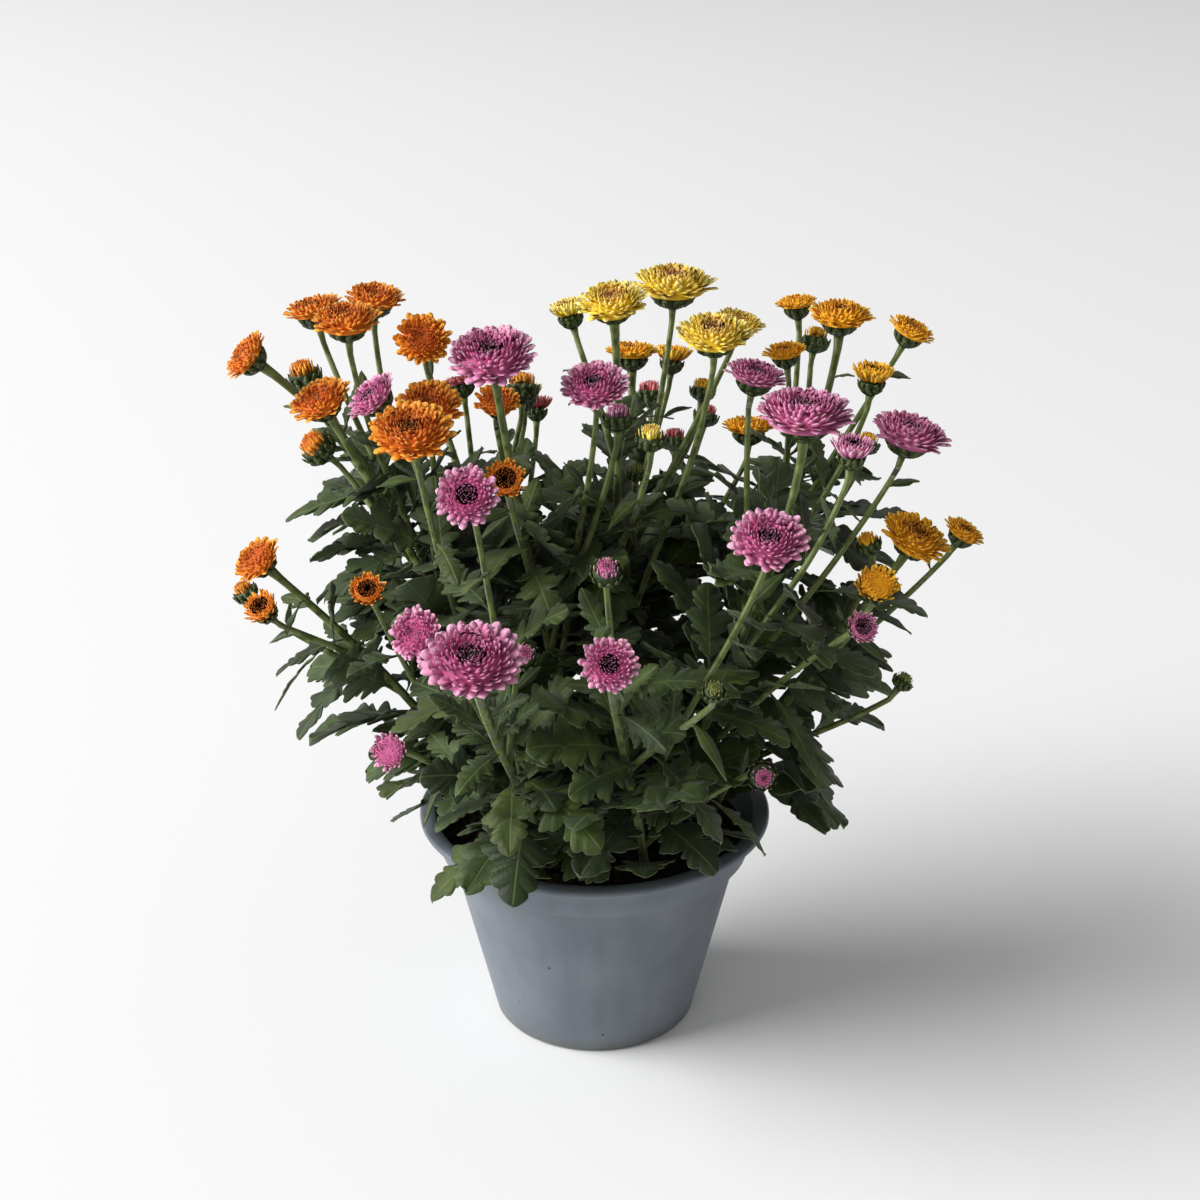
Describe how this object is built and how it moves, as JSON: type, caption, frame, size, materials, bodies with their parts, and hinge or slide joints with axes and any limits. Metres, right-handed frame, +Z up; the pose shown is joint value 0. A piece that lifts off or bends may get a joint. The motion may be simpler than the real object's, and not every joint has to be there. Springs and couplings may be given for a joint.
{
  "type": "pot chrysanthemum",
  "caption": "Flowering pot chrysanthemum in a grey nursery pot: leafy stems in potting soil carry orange, pink, yellow, golden and red layered flower heads and buds.",
  "frame": {"origin": "middle of the pot's foot, in the plane that it stands on", "axes": "+Z up along the pot's axis, -Y towards the front of the plant, +X to its right"},
  "size_m": [0.272, 0.2223, 0.2828],
  "materials": {
    "grey_plastic": "moulded polypropylene, faint sheen",
    "potting_soil": "rough dark crumbs",
    "leaf_green": "matt green leaf and stem with fine hairs",
    "orange_petals": "matt petals",
    "pink_petals": "matt petals",
    "yellow_petals": "matt petals",
    "gold_petals": "matt petals",
    "red_petals": "matt petals"
  },
  "bodies": {
    "root": {"gold_1": "gold_petals", "gold_10": "gold_petals", "gold_11": "gold_petals", "gold_2": "gold_petals", "gold_3": "gold_petals", "gold_4": "gold_petals", "gold_5": "gold_petals", "gold_6": "gold_petals", "gold_7": "gold_petals", "gold_8": "gold_petals", "gold_9": "gold_petals", "leafy_centre": "leaf_green", "leafy_centre_back": "leaf_green", "leafy_front_left": "leaf_green", "leafy_front_right": "leaf_green", "leafy_left_back": "leaf_green", "leafy_left_low": "leaf_green", "leafy_left_mid": "leaf_green", "leafy_left_outer": "leaf_green", "leafy_right_back": "leaf_green", "leafy_right_low": "leaf_green", "leafy_right_mid": "leaf_green", "leafy_right_top": "leaf_green", "orange_1": "orange_petals", "orange_10": "orange_petals", "orange_11": "orange_petals", "orange_13": "orange_petals", "orange_14": "orange_petals", "orange_15": "orange_petals", "orange_16": "orange_petals", "orange_2": "orange_petals", "orange_3": "orange_petals", "orange_4": "orange_petals", "orange_5": "orange_petals", "orange_7": "orange_petals", "orange_9": "orange_petals", "pink_1": "pink_petals", "pink_10": "pink_petals", "pink_11": "pink_petals", "pink_12": "pink_petals", "pink_13": "pink_petals", "pink_14": "pink_petals", "pink_2": "pink_petals", "pink_3": "pink_petals", "pink_4": "pink_petals", "pink_5": "pink_petals", "pink_6": "pink_petals", "pink_7": "pink_petals", "pink_8": "pink_petals", "pink_9": "pink_petals", "pot": "grey_plastic", "red_1": "red_petals", "red_2": "red_petals", "soil": "potting_soil", "yellow_1": "yellow_petals", "yellow_2": "yellow_petals", "yellow_3": "yellow_petals", "yellow_4": "yellow_petals", "yellow_5": "yellow_petals", "yellow_6": "yellow_petals"}
  },
  "joints": []
}
